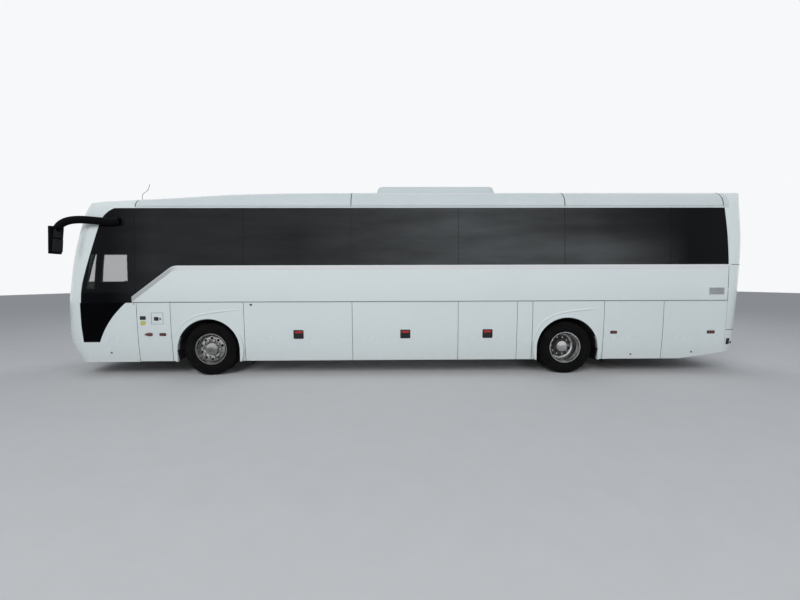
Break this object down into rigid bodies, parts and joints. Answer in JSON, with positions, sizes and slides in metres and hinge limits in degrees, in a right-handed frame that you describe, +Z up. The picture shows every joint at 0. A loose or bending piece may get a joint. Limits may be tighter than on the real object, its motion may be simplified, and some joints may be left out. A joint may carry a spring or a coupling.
{
  "type": "coach bus",
  "caption": "High-deck touring coach with swing doors, lifting luggage doors, steered front wheels and twin rear wheels.",
  "frame": {"origin": "on the ground under the middle of the coach's overall box", "axes": "-X forward, +X rearward, +Y the coach's right side, +Z up"},
  "size_m": [13.2941, 3.05, 3.7051],
  "materials": {
    "white_paint": "clean cool white gloss paint",
    "dark_glass": "near-black tinted bonded glass",
    "clear_glass": "lightly tinted clear glass",
    "lamp_lens": "clear, red and amber moulded lenses",
    "black_trim": "satin black moulded plastic",
    "mirror_glass": "silvered",
    "seat_fabric": "dark blue woven seat cover",
    "floor_grey": "grey studded floor covering",
    "frame_steel": "black chassis paint",
    "engine_iron": "dark cast iron",
    "tyre_rubber": "black tyre rubber",
    "front_rim_steel": "bright polished disc wheel",
    "rear_rim_steel": "bright lip with a browned dish"
  },
  "bodies": {
    "coach_body": {"underframe": "frame_steel", "luggage_bay": "floor_grey", "cabin_floor": "floor_grey", "roof_shell": "white_paint", "roof_unit": "white_paint", "front_mask": "white_paint", "windscreen": "clear_glass", "front_bumper": "white_paint", "head_lamps": "lamp_lens", "corner_panels": "black_trim", "rear_wall": "white_paint", "rear_window": "dark_glass", "tail_lamps": "lamp_lens", "rear_bumper": "white_paint", "passenger_seats": "seat_fabric", "driver_seat": "seat_fabric", "luggage_racks": "black_trim", "dashboard": "black_trim", "engine": "engine_iron", "front_axle": "frame_steel", "rear_axle": "frame_steel", "mirror_arms": "black_trim", "mirror_glasses": "mirror_glass", "wipers": "black_trim", "wall_left": "white_paint", "wall_right": "white_paint", "side_glass_left": "dark_glass", "side_glass_right": "dark_glass", "skirt_left": "white_paint", "skirt_right": "white_paint"},
    "knuckle_left": {"knuckle_left": "frame_steel"},
    "wheel_front_left": {"tyre_front_left": "tyre_rubber", "rim_front_left": "front_rim_steel"},
    "wheel_rear_left": {"tyre_rear_left": "tyre_rubber", "rim_rear_left": "rear_rim_steel"},
    "knuckle_right": {"knuckle_right": "frame_steel"},
    "wheel_front_right": {"tyre_front_right": "tyre_rubber", "rim_front_right": "front_rim_steel"},
    "wheel_rear_right": {"tyre_rear_right": "tyre_rubber", "rim_rear_right": "rear_rim_steel"},
    "luggage_door_left_front": {"luggage_door_left_front": "white_paint"},
    "luggage_door_left_middle": {"luggage_door_left_middle": "white_paint"},
    "luggage_door_left_rear": {"luggage_door_left_rear": "white_paint"},
    "luggage_door_right_front": {"luggage_door_right_front": "white_paint"},
    "luggage_door_right_rear": {"luggage_door_right_rear": "white_paint"},
    "service_flap_left": {"service_flap_left": "white_paint"},
    "rear_flap_left_front": {"rear_flap_left_front": "white_paint"},
    "rear_flap_left_rear": {"rear_flap_left_rear": "white_paint"},
    "rear_flap_right": {"rear_flap_right": "white_paint"},
    "filler_lid": {"filler_lid": "white_paint"},
    "engine_lid": {"engine_lid": "white_paint"},
    "front_door_post": {"front_door_post": "frame_steel"},
    "front_door": {"front_door": "white_paint", "front_door_glass": "dark_glass"},
    "mid_door_post": {"mid_door_post": "frame_steel"},
    "mid_door": {"mid_door": "white_paint", "mid_door_glass": "dark_glass"}
  },
  "joints": [
    {"name": "steer_left", "type": "hinge", "parent": "coach_body", "child": "knuckle_left", "pos_m": [-3.715, -0.92, 0.5], "axis": [0, 0, 1], "range_deg": [-40, 40]},
    {"name": "spin_front_left", "type": "hinge", "parent": "knuckle_left", "child": "wheel_front_left", "pos_m": [-3.715, -1.0825, 0.5], "axis": [0, 1, 0], "continuous": true},
    {"name": "spin_rear_left", "type": "hinge", "parent": "coach_body", "child": "wheel_rear_left", "pos_m": [3.1, -1.0825, 0.5], "axis": [0, 1, 0], "continuous": true},
    {"name": "steer_right", "type": "hinge", "parent": "coach_body", "child": "knuckle_right", "pos_m": [-3.715, 0.92, 0.5], "axis": [0, 0, 1], "range_deg": [-40, 40]},
    {"name": "spin_front_right", "type": "hinge", "parent": "knuckle_right", "child": "wheel_front_right", "pos_m": [-3.715, 1.0825, 0.5], "axis": [0, 1, 0], "continuous": true},
    {"name": "spin_rear_right", "type": "hinge", "parent": "coach_body", "child": "wheel_rear_right", "pos_m": [3.1, 1.0825, 0.5], "axis": [0, 1, 0], "continuous": true},
    {"name": "open_luggage_door_left_front", "type": "hinge", "parent": "coach_body", "child": "luggage_door_left_front", "pos_m": [0, -1.276, 1.396], "axis": [-1, 0, 0], "range_deg": [0, 80]},
    {"name": "open_luggage_door_left_middle", "type": "hinge", "parent": "coach_body", "child": "luggage_door_left_middle", "pos_m": [0, -1.276, 1.396], "axis": [-1, 0, 0], "range_deg": [0, 80]},
    {"name": "open_luggage_door_left_rear", "type": "hinge", "parent": "coach_body", "child": "luggage_door_left_rear", "pos_m": [0, -1.276, 1.396], "axis": [-1, 0, 0], "range_deg": [0, 80]},
    {"name": "open_luggage_door_right_front", "type": "hinge", "parent": "coach_body", "child": "luggage_door_right_front", "pos_m": [0, 1.276, 1.396], "axis": [1, 0, 0], "range_deg": [0, 80]},
    {"name": "open_luggage_door_right_rear", "type": "hinge", "parent": "coach_body", "child": "luggage_door_right_rear", "pos_m": [0, 1.276, 1.396], "axis": [1, 0, 0], "range_deg": [0, 80]},
    {"name": "open_service_flap_left", "type": "hinge", "parent": "coach_body", "child": "service_flap_left", "pos_m": [0, -1.276, 1.396], "axis": [-1, 0, 0], "range_deg": [0, 80]},
    {"name": "open_rear_flap_left_front", "type": "hinge", "parent": "coach_body", "child": "rear_flap_left_front", "pos_m": [0, -1.276, 1.396], "axis": [-1, 0, 0], "range_deg": [0, 80]},
    {"name": "open_rear_flap_left_rear", "type": "hinge", "parent": "coach_body", "child": "rear_flap_left_rear", "pos_m": [0, -1.276, 1.396], "axis": [-1, 0, 0], "range_deg": [0, 80]},
    {"name": "open_rear_flap_right", "type": "hinge", "parent": "coach_body", "child": "rear_flap_right", "pos_m": [0, 1.276, 1.396], "axis": [1, 0, 0], "range_deg": [0, 80]},
    {"name": "open_filler_lid", "type": "hinge", "parent": "service_flap_left", "child": "filler_lid", "pos_m": [-4.78, -1.27556, 1.1025], "axis": [0, 0, -1], "range_deg": [0, 100]},
    {"name": "open_engine_lid", "type": "hinge", "parent": "coach_body", "child": "engine_lid", "pos_m": [6.543, 0, 2.06], "axis": [0, -1, 0], "range_deg": [0, 80]},
    {"name": "swing_front_door", "type": "hinge", "parent": "coach_body", "child": "front_door_post", "pos_m": [-5.22, 1.135, 1], "axis": [0, 0, 1], "range_deg": [0, 149.2]},
    {"name": "hang_front_door", "type": "hinge", "parent": "front_door_post", "child": "front_door", "pos_m": [-4.8, 1.17, 1], "axis": [0, 0, 1], "range_deg": [-149.2, 0]},
    {"name": "swing_mid_door", "type": "hinge", "parent": "coach_body", "child": "mid_door_post", "pos_m": [1.75, 1.135, 1], "axis": [0, 0, -1], "range_deg": [0, 143.68]},
    {"name": "hang_mid_door", "type": "hinge", "parent": "mid_door_post", "child": "mid_door", "pos_m": [1.39, 1.17, 1], "axis": [0, 0, -1], "range_deg": [-143.68, 0]}
  ],
  "couplings": [
    {"joint": "steer_right", "follows": "steer_left", "ratio": 1},
    {"joint": "hang_front_door", "follows": "swing_front_door", "ratio": -1},
    {"joint": "hang_mid_door", "follows": "swing_mid_door", "ratio": -1}
  ]
}
